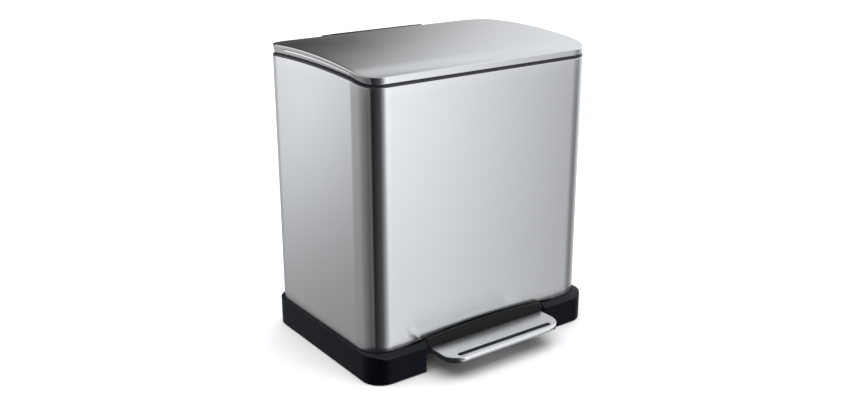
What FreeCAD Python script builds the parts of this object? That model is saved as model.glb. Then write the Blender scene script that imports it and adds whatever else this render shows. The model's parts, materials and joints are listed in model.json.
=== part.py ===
"""Pedal bin: a brushed-steel box bin with a plastic base, a lift-out bucket and a foot-operated lid.

Frame: millimetres, +Z up, floor at z = 0, front towards -Y, origin under the middle of the whole
bin. Positions along Y are written from the middle of the steel box; centreY moves them into the
part's frame.
"""
import FreeCAD, Part
import os
import re
import Sketcher

# name, value, what it is
DIMENSIONS = [
    ("centreY", 19.5, "middle of the steel box, measured from the part's origin"),
    ("bodyWidth", 379.0, "steel box, left to right"),
    ("bodyDepth", 261.0, "steel box, front to back"),
    ("bodyCorner", 34.0, "outer corner radius of the steel box"),
    ("sheet", 0.8, "thickness of the stainless sheet"),
    ("shellLow", 42.0, "lower edge of the steel box"),
    ("frontTop", 400.0, "upper edge of the steel box along its front"),
    ("rampStart", -121.5, "where the side edge starts to climb"),
    ("rampEnd", -98.0, "where the climb meets the long arch"),
    ("rampTop", 406.0, "height of the edge at rampEnd"),
    ("archRear", 145.0, "rear end of the long arch"),
    ("archRearTop", 404.0, "height of the arch at its rear end"),
    ("archRise", 4.7, "sagitta of the long arch"),
    ("humpHalf", 135.0, "half width of the raised lower edge at the front"),
    ("humpRise", 9.5, "height of that raised edge"),
    ("running", 0.05, "radial running clearance of a pin in its bore"),
    ("rimLip", 2.0, "height of the plastic rim above the steel edge"),
    ("rimWall", 2.5, "wall of the plastic rim"),
    ("rimLow", 372.0, "lower edge of the plastic rim"),
    ("deckFront", 99.0, "front edge of the rear deck and of the rod channel"),
    ("deckLow", 392.0, "underside of the rear deck"),
    ("deckThick", 3.0, "thickness of the rear deck"),
    ("lidGap", 4.3, "from the steel edge up to the lid's lower edge"),
    ("linerGap", 2.4, "from the steel edge up to the lid liner"),
    ("lidWidth", 378.0, "lid, left to right"),
    ("lidDepth", 260.0, "lid, front to back"),
    ("lidFrontTop", 413.2, "height of the lid's top along its front"),
    ("lidRampStart", -124.0, "where the lid's top starts to climb"),
    ("lidRampTop", 419.0, "height of the lid's top at rampEnd"),
    ("lidRearTop", 418.7, "height of the lid's top at archRear"),
    ("lidRise", 7.3, "sagitta of the lid's top"),
    ("hingeY", 141.5, "lid hinge axis, behind the steel box"),
    ("hingeZ", 409.2, "lid hinge axis, height"),
    ("barrelRadius", 10.5, "outer radius of the hinge knuckles"),
    ("barrelHalf", 74.0, "half length of the middle knuckle"),
    ("earInner", 76.0, "inner face of the outer knuckles"),
    ("earOuter", 87.0, "outer face of the outer knuckles"),
    ("hingePin", 4.0, "radius of the hinge pin"),
    ("screwRadius", 2.0, "radius of the screws of the base and the hinge"),
    ("baseScrewHead", 4.5, "head radius of the base screws"),
    ("hingeScrewHead", 4.0, "head radius of the hinge screws"),
    ("smallScrew", 1.8, "radius of the screws of the pedal and its brackets"),
    ("smallScrewHead", 3.4, "head radius of those screws"),
    ("crankScrew", 1.5, "radius of the crank's screws"),
    ("crankScrewHead", 2.8, "head radius of the crank's screws"),
    ("halfSwing", 37.5, "half of the lid's travel, degrees"),
    ("crankRadius", 32.0, "from the hinge axis to the crank pin"),
    ("crankPin", 3.0, "radius of the crank pin and of the pedal's pins"),
    ("rodY", 113.0, "axis of the push rod"),
    ("rodRadius", 4.0, "radius of the push rod"),
    ("rodLow", 22.0, "lower end of the push rod"),
    ("rodHigh", 376.0, "upper end of the push rod"),
    ("footZ", 12.0, "height of the pin between pedal lever and push rod"),
    ("baseWidth", 385.4, "plastic base, left to right"),
    ("baseDepth", 275.5, "plastic base, front to back"),
    ("baseCorner", 30.0, "outer corner radius of the base"),
    ("baseY", -4.75, "middle of the base"),
    ("baseLow", 1.0, "lower edge of the base"),
    ("baseWall", 3.0, "wall of the base"),
    ("webLow", 38.0, "underside of the web that carries the steel box"),
    ("upstandTop", 60.0, "top of the wall inside the steel box"),
    ("notchHalf", 107.5, "half width of the pedal opening in the base"),
    ("bossX", 172.0, "corner bosses and feet, from the middle"),
    ("bossY", 112.0, "corner bosses and feet, from the middle"),
    ("bossRadius", 10.0, "radius of the corner bosses"),
    ("footRadius", 9.0, "radius of the rubber feet"),
    ("footHeight", 4.0, "height of the rubber feet"),
    ("floorLow", 55.0, "underside of the bottom plate"),
    ("floorTop", 58.0, "top of the bottom plate"),
    ("axleY", -76.0, "pedal axle"),
    ("axleZ", 30.0, "pedal axle, height"),
    ("treadHalf", 100.0, "half width of the tread"),
    ("treadFront", -191.0, "front edge of the tread"),
    ("treadBack", -141.0, "back edge of the tread"),
    ("treadTop", 35.0, "top of the tread"),
    ("treadCorner", 27.0, "front corner radius of the tread"),
    ("treadPlate", 1.5, "thickness of the tread's plate"),
    ("lipDepth", 5.0, "depth of the tread's rolled front edge"),
    ("lipLow", 27.0, "lower edge of the tread's rolled front"),
    ("carrierLow", 26.0, "underside of the plastic pedal carrier"),
    ("gripY", -180.0, "middle of the rubber grip strip"),
    ("gripHalf", 82.5, "half length of the grip strip"),
    ("gripWide", 7.5, "width of the grip strip"),
    ("hoodHalf", 103.0, "half width of the hood behind the tread"),
    ("hoodSide", 45.5, "height of the hood at its ends"),
    ("hoodRise", 5.0, "extra height of the hood in the middle"),
    ("armOuter", 48.0, "outer face of the pedal frame's arms"),
    ("armThick", 3.0, "thickness of the pedal frame's arms and lever half width"),
    ("bracketInner", 52.0, "inner face of the pedal brackets"),
    ("bracketThick", 2.5, "thickness of the pedal brackets"),
    ("bufferY", 40.0, "rubber buffer that stops the pedal lever"),
    ("bufferLow", 49.6, "underside of that buffer"),
    ("bucketY", -14.0, "middle of the bucket"),
    ("bucketWidth", 350.0, "bucket at its top, left to right"),
    ("bucketDepth", 210.0, "bucket at its top, front to back"),
    ("bucketTop", 386.0, "top of the bucket"),
    ("bucketTaper", 10.0, "how much each side of the bucket leans in"),
    ("bucketWall", 2.0, "wall of the bucket"),
    ("bucketRim", 4.0, "how far the bucket's rim stands out"),
    ("damperX", 24.0, "axis of the closing damper"),
    ("damperRadius", 8.0, "outer radius of the damper"),
    ("damperLow", 150.0, "lower end of the damper"),
    ("damperHigh", 250.0, "upper end of the damper's tube"),
    ("pistonRod", 2.5, "radius of the damper's piston rod"),
    ("beyond", 150.0, "half width of blocks that only cut the pedal"),
    ("above", 80.0, "height of those blocks"),
]

doc = FreeCAD.newDocument("pedal_bin")
sheet = doc.addObject("Spreadsheet::Sheet", "Dims")
for row, (alias, value, meaning) in enumerate(DIMENSIONS, start=1):
    sheet.set(f"A{row}", meaning)
    sheet.set(f"B{row}", str(value))
    sheet.setAlias(f"B{row}", alias)
doc.recompute()

ALIASES = {alias for alias, _, _ in DIMENSIONS}
nodes = []
made = set()


def formula(text):
    """Point every alias in the text at the spreadsheet."""
    return re.sub(r"[A-Za-z]\w*", lambda word: f"Dims.{word[0]}" if word[0] in ALIASES else word[0],
                  str(text))


def number(text):
    return float(sheet.evalExpression(formula(text)))


def bind(item, prop, text):
    item.setExpression(prop, formula(text))


def unique(name):
    """Give helper objects names of their own."""
    count = 1
    while f"{name}_{count}" in made:
        count += 1
    made.add(f"{name}_{count}")
    return f"{name}_{count}"


def node(label, item):
    """Register a finished sub-part under the name of its file."""
    item.Label = label
    nodes.append(item)
    return item


# ---------------------------------------------------------------- primitives and booleans

def box(x, y, z):
    """A block between pairs of formulas, y from the middle of the steel box."""
    item = doc.addObject("Part::Box", unique("block"))
    for side, (low, high) in zip(("Length", "Width", "Height"), (x, y, z)):
        bind(item, side, f"({high}) - ({low})")
    bind(item, "Placement.Base.x", x[0])
    bind(item, "Placement.Base.y", f"({y[0]}) + centreY")
    bind(item, "Placement.Base.z", z[0])
    return item


TURNS = {"x": FreeCAD.Rotation(FreeCAD.Vector(0, 1, 0), 90),
         "y": FreeCAD.Rotation(FreeCAD.Vector(1, 0, 0), -90),
         "z": FreeCAD.Rotation()}


def cylinder(axis, across, span, radius):
    """A cylinder along an axis; across holds its two other coordinates in x, y, z order."""
    item = doc.addObject("Part::Cylinder", unique("cylinder"))
    low, high = span
    place = list(across)
    place.insert("xyz".index(axis), low)
    item.Placement = FreeCAD.Placement(FreeCAD.Vector(), TURNS[axis])
    bind(item, "Placement.Base.x", place[0])
    bind(item, "Placement.Base.y", f"({place[1]}) + centreY")
    bind(item, "Placement.Base.z", place[2])
    bind(item, "Height", f"({high}) - ({low})")
    bind(item, "Radius", radius)
    return item


def fuse(*items):
    joined = doc.addObject("Part::MultiFuse", unique("fuse"))
    joined.Shapes = list(items)
    joined.Refine = True
    return joined


def cut(base, *tools):
    """Take every tool out of the base, one after another."""
    for tool in tools:
        result = doc.addObject("Part::Cut", unique("cut"))
        result.Base = base
        result.Tool = tool
        base = result
    return base


def common(first, second):
    result = doc.addObject("Part::Common", unique("common"))
    result.Base = first
    result.Tool = second
    return result


def group(items):
    """Identical loose pieces, kept as separate solids of one node."""
    bundle = doc.addObject("Part::Compound", unique("group"))
    bundle.Links = items
    return bundle


# ---------------------------------------------------------------- sketched bodies

def new_body(name, x="0"):
    body = doc.addObject("PartDesign::Body", unique(name))
    bind(body, "Placement.Base.x", x)
    bind(body, "Placement.Base.y", "centreY")
    return body


def new_sketch(body, plane):
    sketch = body.newObject("Sketcher::SketchObject", unique("sketch"))
    origin_plane = next(item for item in body.Origin.OriginFeatures if item.Role == plane)
    sketch.AttachmentSupport = (origin_plane, "")
    sketch.MapMode = "FlatFace"
    return sketch


def pin_point(sketch, edge, end, x, y):
    """Hold one end of an edge at a place given by two formulas."""
    for kind, text in (("DistanceX", x), ("DistanceY", y)):
        index = sketch.addConstraint(Sketcher.Constraint(kind, -1, 1, edge, end, number(text)))
        bind(sketch, f"Constraints[{index}]", text)


def rounded_rectangle(body, width, depth, corner, y="0", z="0"):
    """A centred rectangle with rounded corners, drawn on the body's XY plane."""
    sketch = new_sketch(body, "XY_Plane")
    bind(sketch, "AttachmentOffset.Base.y", y)
    bind(sketch, "AttachmentOffset.Base.z", z)
    across, along, radius = number(width) / 2, number(depth) / 2, number(corner)
    point = FreeCAD.Vector
    turns = [(across, -along), (across, along), (-across, along), (-across, -along)]
    starts = [(-across + radius, -along), (across, -along + radius),
              (across - radius, along), (-across, along - radius)]
    ends = [(across - radius, -along), (across, along - radius),
            (-across + radius, along), (-across, -along + radius)]
    for start, end in zip(starts, ends):
        sketch.addGeometry(Part.LineSegment(point(*start, 0), point(*end, 0)))
    quarter = 1.5707963267948966
    for index, (x, side) in enumerate(turns):
        centre = point(x - radius if x > 0 else x + radius, side - radius if side > 0 else side + radius, 0)
        circle = Part.Circle(centre, point(0, 0, 1), radius)
        sketch.addGeometry(Part.ArcOfCircle(circle, (index - 1) * quarter, index * quarter))
    for index in range(4):
        sketch.addConstraint(Sketcher.Constraint("Tangent", index, 2, 4 + index, 1))
        sketch.addConstraint(Sketcher.Constraint("Tangent", 4 + index, 2, (index + 1) % 4, 1))
    for index in (0, 2):
        sketch.addConstraint(Sketcher.Constraint("Horizontal", index))
        sketch.addConstraint(Sketcher.Constraint("Vertical", index + 1))
    for index in (5, 6, 7):
        sketch.addConstraint(Sketcher.Constraint("Equal", 4, index))
    rounding = sketch.addConstraint(Sketcher.Constraint("Radius", 4, radius))
    bind(sketch, f"Constraints[{rounding}]", corner)
    for kind, edge, text in (("DistanceY", 0, f"-({depth}) / 2"), ("DistanceX", 1, f"({width}) / 2"),
                             ("DistanceY", 2, f"({depth}) / 2"), ("DistanceX", 3, f"-({width}) / 2")):
        index = sketch.addConstraint(Sketcher.Constraint(kind, -1, 1, edge, 1, number(text)))
        bind(sketch, f"Constraints[{index}]", text)
    return sketch


def prism(width, depth, corner, z, y="0"):
    """A standing block with a rounded-rectangle plan."""
    body = new_body("prism")
    sketch = rounded_rectangle(body, width, depth, corner, y, z[0])
    pad = body.newObject("PartDesign::Pad", unique("pad"))
    pad.Profile = sketch
    bind(pad, "Length", f"({z[1]}) - ({z[0]})")
    return body


def tapered(low, high, z, y):
    """A block lofted between two rounded rectangles, each (width, depth, corner)."""
    body = new_body("taper")
    bottom = rounded_rectangle(body, *low, y, z[0])
    top = rounded_rectangle(body, *high, y, z[1])
    loft = body.newObject("PartDesign::AdditiveLoft", unique("loft"))
    loft.Profile = bottom
    loft.Sections = [top]
    return body


def outline(plane, corners, span, x="0"):
    """A plate cut to an outline and centred on its plane.

    The corners run anticlockwise. Each is (across, up), or (across, up, rise) where the edge that
    leaves it is an arc whose middle stands that far outside its chord.
    """
    body = new_body("plate", x)
    sketch = new_sketch(body, plane)
    count = len(corners)
    points = [FreeCAD.Vector(number(corner[0]), number(corner[1]), 0) for corner in corners]
    first_end = []
    for index, corner in enumerate(corners):
        start, end = points[index], points[(index + 1) % count]
        if len(corner) == 2:
            sketch.addGeometry(Part.LineSegment(start, end))
        else:
            chord = end - start
            outward = FreeCAD.Vector(chord.y, -chord.x, 0).normalize()
            middle = (start + end) * 0.5 + outward * number(corner[2])
            sketch.addGeometry(Part.Arc(start, middle, end))
        forward = (sketch.getPoint(index, 1) - start).Length < (sketch.getPoint(index, 2) - start).Length
        first_end.append(1 if forward else 2)
    for index in range(count):
        after = (index + 1) % count
        sketch.addConstraint(Sketcher.Constraint("Coincident", index, 3 - first_end[index],
                                                 after, first_end[after]))
    for index, corner in enumerate(corners):
        pin_point(sketch, index, first_end[index], corner[0], corner[1])
        if len(corner) == 3:
            following = corners[(index + 1) % count]
            chord = f"((({following[0]}) - ({corner[0]}))^2 + (({following[1]}) - ({corner[1]}))^2)"
            radius = f"abs({chord} / (8 * ({corner[2]})) + ({corner[2]}) / 2)"
            held = sketch.addConstraint(Sketcher.Constraint("Radius", index, number(radius)))
            bind(sketch, f"Constraints[{held}]", radius)
    pad = body.newObject("PartDesign::Pad", unique("pad"))
    pad.Profile = sketch
    pad.SideType = "Symmetric"
    bind(pad, "Length", span)
    return body


WIDE = "bodyWidth + 60"


def below_edge(lift):
    """Everything below the steel box's upper edge, raised by lift; sides arched, front straight."""
    return outline("YZ_Plane", [
        ("-200", "-10"),
        ("200", "-10"),
        ("200", f"archRearTop + {lift}"),
        ("archRear", f"archRearTop + {lift}", "archRise"),
        ("rampEnd", f"rampTop + {lift}"),
        ("rampStart", f"frontTop + {lift}"),
        ("-200", f"frontTop + {lift}"),
    ], WIDE)


def below_lid(drop):
    """Everything below the lid's arched top, lowered by drop."""
    return outline("YZ_Plane", [
        ("-200", "-10"),
        ("200", "-10"),
        ("200", f"lidRearTop - {drop}"),
        ("archRear", f"lidRearTop - {drop}", "lidRise"),
        ("rampEnd", f"lidRampTop - {drop}"),
        ("lidRampStart", f"lidFrontTop - {drop}"),
        ("-200", f"lidFrontTop - {drop}"),
    ], WIDE)


def mirrored(low, high, side):
    """The pair (low, high) on the right, or its mirror image on the left."""
    return (low, high) if side > 0 else (f"-({high})", f"-({low})")


def screw(axis, across, head, shank, head_radius, shank_radius):
    """Head and shank as one solid; head and shank are (low, high) along the axis."""
    return fuse(cylinder(axis, across, head, head_radius), cylinder(axis, across, shank, shank_radius))


# ---------------------------------------------------------------- steel box and rim

def body_shell():
    outside = prism("bodyWidth", "bodyDepth", "bodyCorner", ("shellLow", "frontTop + 20"))
    inside = prism("bodyWidth - 2 * sheet", "bodyDepth - 2 * sheet", "bodyCorner - sheet",
                   ("shellLow - 5", "frontTop + 25"))
    hump = outline("XZ_Plane", [
        ("-humpHalf", "shellLow - 5"),
        ("humpHalf", "shellLow - 5"),
        ("humpHalf", "shellLow", "humpRise"),
        ("-humpHalf", "shellLow"),
    ], "40")
    bind(hump, "Placement.Base.y", "centreY - bodyDepth / 2")
    trimmed = common(cut(outside, inside), below_edge("0"))
    return cut(trimmed, hump, *hinge_screw_holes())


HINGE_SCREWS = [("-60", "350"), ("60", "350"), ("-60", "364"), ("60", "364")]


def hinge_screw_holes():
    return [cylinder("y", place, ("bodyDepth / 2 - 12", "bodyDepth / 2 + 8"), "screwRadius")
            for place in HINGE_SCREWS]


def top_rim():
    low = "rimLow"
    ring_width = "bodyWidth - 2 * sheet - 0.2"
    ring_depth = "bodyDepth - 2 * sheet - 0.2"
    outside = prism(ring_width, ring_depth, "bodyCorner - sheet", (low, "frontTop + 20"))
    inside = prism(f"{ring_width} - 2 * rimWall", f"{ring_depth} - 2 * rimWall",
                   "bodyCorner - sheet - rimWall", ("rimLow - 5", "frontTop + 25"))
    lip_block = prism("bodyWidth - 0.6", "bodyDepth - 0.6", "bodyCorner - 0.3",
                      ("frontTop - 5", "frontTop + 20"))
    deck_block = box(("-bodyWidth / 2", "bodyWidth / 2"), ("deckFront", "bodyDepth / 2 - sheet - 0.2"),
                     ("deckLow", "deckLow + deckThick"))
    deck = common(deck_block, prism(ring_width, ring_depth, "bodyCorner - sheet", (low, "frontTop + 20")))
    crank_slot = box(("-17", "17"), ("deckFront - 2", "deckFront + 29"), ("deckLow - 5", "deckLow + 30"))
    lip = cut(lip_block, below_edge("0"))
    collar = common(cut(fuse(outside, lip), inside), below_edge("rimLip"))
    return fuse(collar, cut(deck, crank_slot))


# ---------------------------------------------------------------- base

BOSSES = [(x, y) for x in ("-bossX", "bossX") for y in ("-bossY", "bossY")]


def base_skirt():
    outside = prism("baseWidth", "baseDepth", "baseCorner", ("baseLow", "shellLow"), "baseY")
    hollow = prism("baseWidth - 2 * baseWall", "baseDepth - 2 * baseWall", "baseCorner - baseWall",
                   ("baseLow - 5", "webLow"), "baseY")
    upstand = prism("bodyWidth - 2 * sheet - 0.2", "bodyDepth - 2 * sheet - 0.2", "bodyCorner - sheet",
                    ("shellLow", "upstandTop"))
    opening = prism("bodyWidth - 7.4", "bodyDepth - 7.4", "bodyCorner - 3.7",
                    ("webLow - 5", "upstandTop + 5"))
    ledge = outline("YZ_Plane", [
        ("-131", "43"),
        ("-160", "43"),
        ("-160", "31"),
        ("-145", "36"),
    ], WIDE)
    notch = box(("-notchHalf", "notchHalf"), ("-165", "-126"), ("-5", "shellLow"))
    bosses = [cylinder("z", place, ("footHeight", "floorLow"), "bossRadius") for place in BOSSES]
    holes = [cylinder("z", place, ("floorLow - 20", "floorLow + 5"), "screwRadius") for place in BOSSES]
    shell = cut(fuse(cut(outside, hollow, ledge), upstand), opening, notch)
    return cut(fuse(shell, *bosses), *holes)


BRACKET_SCREWS = [(f"{side}60", y) for side in ("-", "") for y in ("axleY - 8", "axleY + 8")]


def bottom_plate():
    plate = prism("bodyWidth - 8", "bodyDepth - 8", "bodyCorner - 4", ("floorLow", "floorTop"))
    through = ("floorLow - 5", "floorTop + 5")
    holes = [cylinder("z", place, through, "screwRadius") for place in BOSSES]
    holes += [cylinder("z", place, through, "smallScrew") for place in BRACKET_SCREWS]
    rod_slot = box(("-9", "9"), ("rodY - 15", "rodY + 12"), ("floorLow - 5", "floorTop + 5"))
    return cut(plate, rod_slot, *holes)


def base_screws():
    return group([screw("z", place, ("floorTop", "floorTop + 2.5"), ("floorLow - 15", "floorTop + 1"),
                        "baseScrewHead", "screwRadius") for place in BOSSES])


def feet():
    return group([cylinder("z", place, ("0", "footHeight"), "footRadius") for place in BOSSES])


# ---------------------------------------------------------------- lid and hinge

def lid_skin():
    outside = prism("lidWidth", "lidDepth", "bodyCorner - 0.5", ("frontTop - 20", "frontTop + 40"))
    inside = prism("lidWidth - 2 * sheet", "lidDepth - 2 * sheet", "bodyCorner - 0.5 - sheet",
                   ("frontTop - 25", "frontTop + 45"))
    tongue_slot = box(("-barrelHalf - 1.5", "barrelHalf + 1.5"), ("lidDepth / 2 - 4", "lidDepth / 2 + 4"),
                      ("frontTop", "hingeZ + 7"))
    return cut(common(outside, below_lid("0")), common(inside, below_lid("sheet")), below_edge("lidGap"),
               tongue_slot)


CRANK_SCREWS = [("-12", "112"), ("12", "112")]


def lid_liner():
    band = prism("lidWidth - 0.6", "lidDepth - 0.6", "bodyCorner - 0.8", ("frontTop - 20", "frontTop + 40"))
    rib_outside = prism("lidWidth - 2.4", "lidDepth - 2.4", "bodyCorner - 1.7",
                        ("frontTop - 20", "frontTop + 40"))
    rib_inside = prism("lidWidth - 8", "lidDepth - 8", "bodyCorner - 4.5",
                       ("frontTop - 25", "frontTop + 45"))
    plate = cut(common(band, below_edge("lidGap - 0.1")), below_edge("linerGap"))
    rib = cut(common(cut(rib_outside, rib_inside), below_edge("8")), below_edge("linerGap + 1"))
    tongue_slot = box(("-barrelHalf - 2", "barrelHalf + 2"), ("lidDepth / 2 - 8", "lidDepth / 2 + 4"),
                      ("hingeZ + 1.3", "hingeZ + 20"))
    holes = [cylinder("z", place, ("hingeZ - 6", "hingeZ + 5"), "crankScrew") for place in CRANK_SCREWS]
    return cut(fuse(plate, rib), tongue_slot, *holes)


AXIS = ("hingeY", "hingeZ")


def hinge_barrel():
    knuckle = cylinder("x", AXIS, ("-barrelHalf", "barrelHalf"), "barrelRadius")
    tongue = box(("-barrelHalf", "barrelHalf"), ("lidDepth / 2 - 22", "hingeY"),
                 ("hingeZ + 2.1", "hingeZ + 6"))
    bore = cylinder("x", AXIS, ("-barrelHalf - 5", "barrelHalf + 5"), "hingePin + running")
    return cut(fuse(knuckle, tongue), bore)


def hinge_bracket():
    face = "bodyDepth / 2 + 0.1"
    plate = box(("-earOuter", "earOuter"), (face, f"{face} + 2"), ("340", "hingeZ - barrelRadius - 2"))
    ears = []
    for side in (-1, 1):
        span = mirrored("earInner", "earOuter", side)
        ears.append(box(span, (face, "hingeY + 4"), ("380", "hingeZ - barrelRadius - 2")))
        ears.append(box(span, ("hingeY - 8", "hingeY + 4"), ("390", "hingeZ")))
        ears.append(cylinder("x", AXIS, span, "barrelRadius"))
    bore = cylinder("x", AXIS, ("-earOuter - 5", "earOuter + 5"), "hingePin")
    return cut(fuse(plate, *ears), bore, *hinge_screw_holes())


def hinge_pin():
    return cylinder("x", AXIS, ("-earOuter - 2", "earOuter + 2"), "hingePin")


def hinge_backing_plate():
    plate = box(("-80", "80"), ("bodyDepth / 2 - sheet - 2.2", "bodyDepth / 2 - sheet - 0.2"),
                ("342", "370"))
    return cut(plate, *hinge_screw_holes())


def hinge_screws():
    face = "bodyDepth / 2 + 2.1"
    return group([screw("y", place, (face, f"{face} + 2"), ("bodyDepth / 2 - 6", f"{face} + 1"),
                        "hingeScrewHead", "screwRadius") for place in HINGE_SCREWS])


CRANK_AXIS = ("hingeY - crankRadius * cos(halfSwing * 1 deg)",
              "hingeZ - crankRadius * sin(halfSwing * 1 deg)")


def lid_crank():
    """Two ears under the lid that carry the crank pin in front of the hinge."""
    ears = []
    for side in (-1, 1):
        ears.append(outline("YZ_Plane", [
            (f"{CRANK_AXIS[0]} - 6", f"{CRANK_AXIS[1]} - 6"),
            (f"{CRANK_AXIS[0]} + 6", f"{CRANK_AXIS[1]} - 6"),
            ("123", "hingeZ + 5"),
            ("106", "hingeZ + 5"),
        ], "2.5", f"{side * 7.25}"))
    flange = box(("-16", "16"), ("104", "122"), ("hingeZ - 3.5", "hingeZ + 5"))
    bore = cylinder("x", CRANK_AXIS, ("-20", "20"), "crankPin")
    holes = [cylinder("z", place, ("hingeZ - 10", "hingeZ + 5"), "crankScrew") for place in CRANK_SCREWS]
    return cut(common(fuse(flange, *ears), below_edge("linerGap")), bore, *holes)


def crank_pin():
    return cylinder("x", CRANK_AXIS, ("-9.5", "9.5"), "crankPin")


def crank_screws():
    return group([screw("z", place, ("hingeZ - 5.5", "hingeZ - 3.5"), ("hingeZ - 4", "hingeZ + 1.4"),
                        "crankScrewHead", "crankScrew") for place in CRANK_SCREWS])


def lid_buffers():
    posts = [cylinder("z", (x, "112"), ("deckLow + deckThick + 0.4", "hingeZ + 5"), "5")
             for x in ("-150", "150")]
    return common(group(posts), below_edge("linerGap"))


# ---------------------------------------------------------------- push rod and damper

def push_rod():
    return cylinder("z", ("0", "rodY"), ("rodLow", "rodHigh"), "rodRadius")


def rod_head():
    """Flat head with a level slot that the crank pin slides in."""
    pin_z = CRANK_AXIS[1]
    socket = box(("-5.4", "5.4"), ("rodY - 6", "rodY + 6"), ("rodHigh - 6", "rodHigh + 3"))
    head = box(("-armThick", "armThick"), ("rodY - 10", "rodY + 10.2"), ("rodHigh + 1", f"{pin_z} + 8"))
    slot = box(("-10", "10"), ("hingeY - crankRadius - 3.6", f"{CRANK_AXIS[0]} + 3.6"),
               (f"{pin_z} - 3.85", f"{pin_z} + 3.85"))
    bore = cylinder("z", ("0", "rodY"), ("rodHigh - 10", "rodHigh"), "rodRadius")
    return cut(fuse(socket, head), slot, bore)


FOOT_AXIS = ("rodY", "footZ")


def rod_foot():
    """Clevis at the rod's lower end, round the end of the pedal lever."""
    block = box(("-6.4", "6.4"), ("rodY - 7", "rodY + 7"), ("footZ - 5.5", "rodLow + 5"))
    gap = box(("-3.6", "3.6"), ("rodY - 10", "rodY + 10"), ("footZ - 10", "footZ + 8.2"))
    pin = cylinder("x", FOOT_AXIS, ("-10", "10"), "crankPin")
    bore = cylinder("z", ("0", "rodY"), ("rodLow", "rodLow + 10"), "rodRadius")
    return cut(block, gap, pin, bore)


def rod_foot_pin():
    return cylinder("x", FOOT_AXIS, ("-7.5", "7.5"), "crankPin")


def rear_channel():
    """Folded cover that keeps the rod clear of the bucket."""
    top = "deckLow - 1"
    front = box(("-40", "40"), ("deckFront", "deckFront + 2"), ("floorTop", top))
    sides = [box(mirrored("38", "40", side), ("deckFront + 1", "bodyDepth / 2 - sheet - 0.5"),
                 ("floorTop", top)) for side in (-1, 1)]
    wall_gap = box(("-90", "90"), ("bodyDepth / 2 - sheet - 3", "bodyDepth / 2"), ("330", "420"))
    foot_gap = box(("-90", "90"), ("deckFront - 5", "bodyDepth / 2"), ("floorTop - 5", "floorTop + 2.5"))
    return cut(fuse(front, *sides), wall_gap, foot_gap)


def rod_guide(low):
    block = box(("-14", "14"), ("deckFront + 2", "bodyDepth / 2 - sheet - 3.5"), (low, f"{low} + 12"))
    return cut(block, cylinder("z", ("0", "rodY"), (f"{low} - 5", f"{low} + 20"), "rodRadius + running"))


DAMPER_AXIS = ("damperX", "rodY")


def damper_cylinder():
    tube = cylinder("z", DAMPER_AXIS, ("damperLow", "damperHigh"), "damperRadius")
    return cut(tube, cylinder("z", DAMPER_AXIS, ("damperLow + 4", "damperHigh + 5"), "damperRadius - 1.5"))


def damper_cap():
    cap = cylinder("z", DAMPER_AXIS, ("damperHigh", "damperHigh + 5"), "damperRadius")
    return cut(cap, cylinder("z", DAMPER_AXIS, ("damperHigh - 5", "damperHigh + 10"), "pistonRod + 0.1"))


def damper_piston():
    head = cylinder("z", DAMPER_AXIS, ("damperLow + 20", "damperLow + 26"), "damperRadius - 1.6")
    rod = cylinder("z", DAMPER_AXIS, ("damperLow + 25", "302"), "pistonRod")
    return fuse(head, rod)


def damper_arm():
    """Cross arm clamped to the push rod; it pulls the damper's piston rod."""
    arm = box(("-8", "31"), ("rodY - 7", "rodY + 7"), ("298", "306"))
    rod_bore = cylinder("z", ("0", "rodY"), ("290", "310"), "rodRadius")
    return cut(arm, rod_bore, cylinder("z", DAMPER_AXIS, ("290", "302"), "pistonRod"))


def damper_clips():
    clips = []
    for low in ("damperLow + 15", "damperHigh - 23"):
        block = box(("damperX - 10", "damperX + 10"), ("deckFront + 2", "rodY - 1"), (low, f"{low} + 8"))
        clips.append(cut(block, cylinder("z", DAMPER_AXIS, (f"{low} - 5", f"{low} + 15"), "damperRadius")))
    return group(clips)


# ---------------------------------------------------------------- pedal

PEDAL_AXIS = ("axleY", "axleZ")


def tread_block(low, high):
    """Plan of the tread, round at its front corners, before its back is cut off."""
    return prism("2 * treadHalf", "2 * (treadBack - treadFront)", "treadCorner", (low, high), "treadBack")


def behind(y, low="0", high="above"):
    return box(("-beyond", "beyond"), (y, "0"), (low, high))


def grip_block(low, high):
    return prism("2 * gripHalf", "gripWide", "gripWide / 2 - 0.1", (low, high), "gripY")


def pedal_tread():
    formed = cut(tread_block("lipLow", "treadTop"), behind("treadBack"),
                 behind("treadFront + lipDepth", "0", "treadTop - treadPlate"))
    return cut(formed, grip_block("treadTop - 10", "treadTop + 10"))


def pedal_grip():
    return grip_block("treadTop - 3", "treadTop + 0.6")


PEDAL_SCREWS = [(x, y) for x in ("-36", "36") for y in ("-166", "-148")]


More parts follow.
